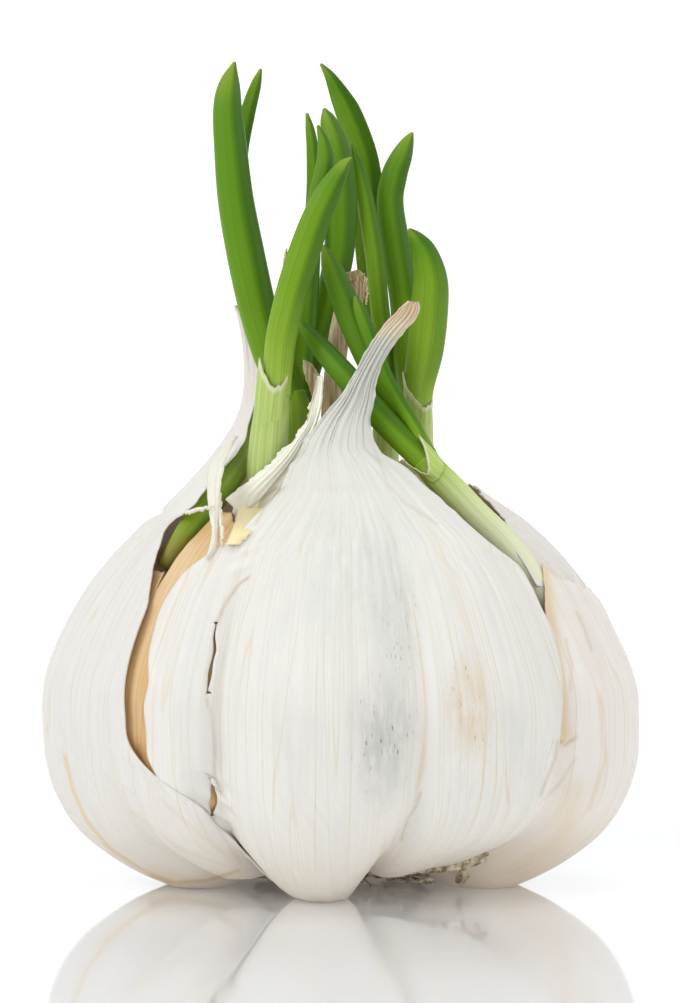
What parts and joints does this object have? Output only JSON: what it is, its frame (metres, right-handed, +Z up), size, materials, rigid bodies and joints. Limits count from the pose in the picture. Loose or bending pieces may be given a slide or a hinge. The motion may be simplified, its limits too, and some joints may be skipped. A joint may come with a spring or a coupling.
{
  "type": "garlic bulb",
  "caption": "Sprouted garlic bulb: plump cloves in papery skins round a root plate, with green shoots and leaves rising through the torn neck.",
  "frame": {"origin": "centre of the underside of the bulb's bounding box, on the surface it stands on", "axes": "+Z up from the root plate to the leaf tips, +Y away from the side with the pointed dry flame, +X to that side's right"},
  "size_m": [0.0642, 0.063, 0.0889],
  "materials": {
    "root": "rough dry root plate",
    "clove": "tan inner clove skin over firm flesh",
    "paper": "dry white papery skin with fine lengthwise veins",
    "straw": "dry straw",
    "leaf": "smooth green leaf, pale towards the base"
  },
  "bodies": {
    "root": {"root_plate": "root", "clove_front_left": "clove", "clove_front": "clove", "clove_front_right": "clove", "clove_right": "clove", "clove_right_back": "clove", "clove_back_right": "clove", "clove_back_left": "clove", "clove_left_back": "clove", "clove_left": "clove", "skin_front": "paper", "skin_left": "paper", "skin_right": "paper", "skin_shoulder": "paper", "skin_right_back": "paper", "skin_back": "paper", "skin_left_back": "paper", "skin_flap": "paper", "old_stalk": "straw", "sprout_front": "leaf", "sprout_left": "leaf", "sprout_centre": "leaf", "sprout_back": "leaf", "sprout_right": "leaf", "sprout_slant": "leaf"}
  },
  "joints": []
}
